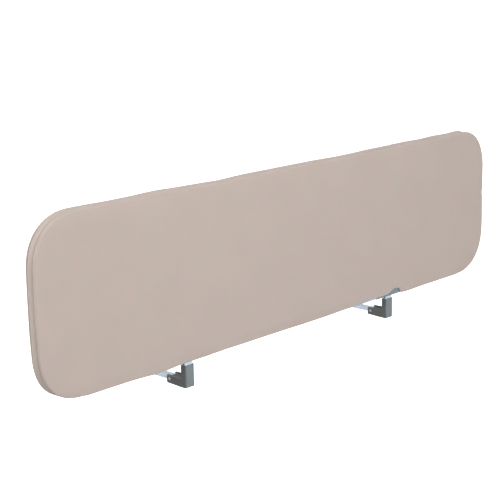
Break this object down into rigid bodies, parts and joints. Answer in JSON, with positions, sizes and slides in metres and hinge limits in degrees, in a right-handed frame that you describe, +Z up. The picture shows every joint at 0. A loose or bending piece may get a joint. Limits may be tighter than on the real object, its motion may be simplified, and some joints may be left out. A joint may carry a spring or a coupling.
{
  "type": "desk privacy panel",
  "caption": "Long upholstered desk screen with rounded corners on two forked grey brackets that hinge on flat bars fixed under a desktop.",
  "frame": {"origin": "centre of the four desk fixing holes, on the plane of the bars' top faces, which is the underside of the desktop", "axes": "+X along the screen, +Y inwards over the desktop, +Z up"},
  "size_m": [1.6, 0.172, 0.463],
  "materials": {
    "board": "raw particle board, hidden",
    "padding": "white polyester wadding, hidden",
    "rail_metal": "satin anodised",
    "fasteners": "zinc plated",
    "tape": "hook tape",
    "cover_cloth": "fine woven beige-rose cloth, matt",
    "bracket_grey": "grey fine-texture powder coat",
    "bright_metal": "bright satin",
    "bar_metal": "satin, cool tint"
  },
  "bodies": {
    "desk_side": {"left_desk_bar": "bar_metal", "right_desk_bar": "bar_metal"},
    "screen": {"core_board": "board", "edge_foam": "padding", "front_pad": "padding", "rear_pad": "padding", "centre_rail": "rail_metal", "left_end_rail": "rail_metal", "right_end_rail": "rail_metal", "rail_screws": "fasteners", "hook_tapes": "tape", "cover_front": "cover_cloth", "cover_band": "cover_cloth", "cover_rear": "cover_cloth", "left_saddle": "bracket_grey", "right_saddle": "bracket_grey", "left_arm": "bracket_grey", "right_arm": "bracket_grey", "left_tongue": "bright_metal", "right_tongue": "bright_metal", "left_tongue_screw": "fasteners", "right_tongue_screw": "fasteners", "left_saddle_bolts": "fasteners", "right_saddle_bolts": "fasteners", "left_saddle_nuts": "fasteners", "right_saddle_nuts": "fasteners", "left_hinge_pin": "fasteners", "right_hinge_pin": "fasteners", "left_pin_clip": "fasteners", "right_pin_clip": "fasteners"}
  },
  "joints": [
    {"name": "screen_fold", "type": "hinge", "parent": "desk_side", "child": "screen", "pos_m": [0, -0.065, -0.004], "axis": [-1, 0, 0], "range_deg": [0, 90]}
  ]
}
